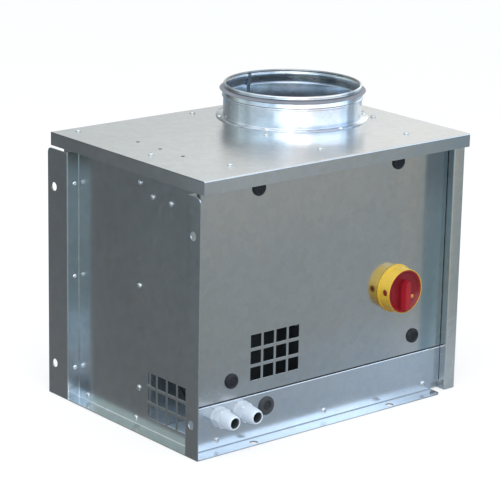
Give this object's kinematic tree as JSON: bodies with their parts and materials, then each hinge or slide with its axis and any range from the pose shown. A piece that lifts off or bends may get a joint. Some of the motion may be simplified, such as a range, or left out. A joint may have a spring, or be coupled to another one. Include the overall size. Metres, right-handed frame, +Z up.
{
  "type": "box duct fan",
  "caption": "Galvanised box duct fan with ducted top outlet and rear inlet, vented motor bay, lift-off front door with quarter-turn locks, rotary isolator and cable glands.",
  "frame": {"origin": "centre of the cabinet width on the plane of its underside; the front is about 0.17 m in front of it", "axes": "+Z up along the outlet, -Y towards the door, +X to the right as seen from the door"},
  "size_m": [0.481, 0.3933, 0.429],
  "materials": {
    "galvanised_sheet": "hot-dip galvanised, fine spangle, half gloss",
    "galvanised_spigot": "bright galvanised, half gloss",
    "rubber_seal": "matt",
    "cast_alloy": "die cast, matt",
    "lamination_steel": "stacked laminations",
    "copper_winding": "enamelled wire",
    "bright_steel": "ground",
    "zinc_fastener": "zinc plated",
    "capacitor_can": "drawn can",
    "grey_plastic": "fine texture",
    "white_plastic": "fine texture",
    "cable_jacket": "matt",
    "gland_plastic": "moulded, light grey",
    "black_plastic": "moulded",
    "yellow_plastic": "moulded, half gloss",
    "red_plastic": "moulded, half gloss"
  },
  "bodies": {
    "cabinet": {"left_side_panel": "galvanised_sheet", "right_side_panel": "galvanised_sheet", "back_panel": "galvanised_sheet", "floor_pan": "galvanised_sheet", "kick_panel": "galvanised_sheet", "lid": "galvanised_sheet", "front_top_rail": "galvanised_sheet", "right_door_post": "galvanised_sheet", "motor_plate": "galvanised_sheet", "scroll_wrap": "galvanised_sheet", "inlet_cone": "galvanised_sheet", "inlet_spigot": "galvanised_spigot", "inlet_seal": "rubber_seal", "outlet_spigot": "galvanised_spigot", "outlet_seal": "rubber_seal", "motor_frame": "cast_alloy", "motor_front_shield": "cast_alloy", "motor_rear_shield": "cast_alloy", "stator_core": "lamination_steel", "stator_windings": "copper_winding", "bearing_outer_rings": "bright_steel", "motor_bolts": "zinc_fastener", "capacitor": "capacitor_can", "capacitor_clip": "galvanised_sheet", "terminal_box": "grey_plastic", "terminal_box_lid": "grey_plastic", "terminal_blocks": "white_plastic", "switch_base": "white_plastic", "din_rail": "galvanised_sheet", "motor_cable": "cable_jacket", "switch_cable": "cable_jacket", "gland_bodies": "gland_plastic", "gland_caps": "gland_plastic", "gland_inserts": "rubber_seal", "gland_locknuts": "gland_plastic", "cable_grommet": "rubber_seal", "lid_screws": "zinc_fastener", "side_screws": "zinc_fastener", "kick_screws": "zinc_fastener", "panel_rivets": "zinc_fastener"},
    "fan_rotor": {"motor_shaft": "bright_steel", "rotor_core": "lamination_steel", "bearing_inner_rings": "bright_steel", "bearing_balls": "bright_steel", "impeller_hub": "cast_alloy", "impeller_back_disc": "galvanised_sheet", "impeller_blades": "galvanised_sheet", "impeller_shroud": "galvanised_sheet", "impeller_bolt": "zinc_fastener", "hub_rivets": "zinc_fastener"},
    "door": {"front_door": "galvanised_sheet", "door_gasket": "rubber_seal", "switch_ring": "yellow_plastic", "lock_collars": "black_plastic"},
    "quarter_turn_lower_left": {"lock_lower_left": "black_plastic"},
    "quarter_turn_lower_right": {"lock_lower_right": "black_plastic"},
    "quarter_turn_upper_left": {"lock_upper_left": "black_plastic"},
    "quarter_turn_upper_right": {"lock_upper_right": "black_plastic"},
    "isolator_handle": {"switch_handle": "red_plastic"},
    "isolator_shaft": {"switch_shaft": "bright_steel"}
  },
  "joints": [
    {"name": "fan_spin", "type": "hinge", "parent": "cabinet", "child": "fan_rotor", "pos_m": [-0.02, 0, 0.1995], "axis": [0, -1, 0], "continuous": true},
    {"name": "door_lift_off", "type": "slide", "parent": "cabinet", "child": "door", "axis": [0, -1, 0], "range_m": [0, 0.15]},
    {"name": "lock_lower_left_turn", "type": "hinge", "parent": "door", "child": "quarter_turn_lower_left", "pos_m": [-0.1672, -0.147, 0.0911], "axis": [0, 1, 0], "range_deg": [0, 90]},
    {"name": "lock_lower_right_turn", "type": "hinge", "parent": "door", "child": "quarter_turn_lower_right", "pos_m": [0.1634, -0.147, 0.0911], "axis": [0, -1, 0], "range_deg": [0, 90]},
    {"name": "lock_upper_left_turn", "type": "hinge", "parent": "door", "child": "quarter_turn_upper_left", "pos_m": [-0.126, -0.147, 0.3508], "axis": [0, -1, 0], "range_deg": [0, 90]},
    {"name": "lock_upper_right_turn", "type": "hinge", "parent": "door", "child": "quarter_turn_upper_right", "pos_m": [0.124, -0.147, 0.3508], "axis": [0, 1, 0], "range_deg": [0, 90]},
    {"name": "isolator_turn", "type": "hinge", "parent": "door", "child": "isolator_handle", "pos_m": [0.1266, -0.155, 0.1684], "axis": [0, 1, 0], "range_deg": [0, 90]},
    {"name": "isolator_shaft_turn", "type": "hinge", "parent": "cabinet", "child": "isolator_shaft", "pos_m": [0.1266, -0.1, 0.1684], "axis": [0, 1, 0], "range_deg": [0, 90]}
  ],
  "couplings": [
    {"joint": "isolator_shaft_turn", "follows": "isolator_turn", "ratio": 1}
  ]
}
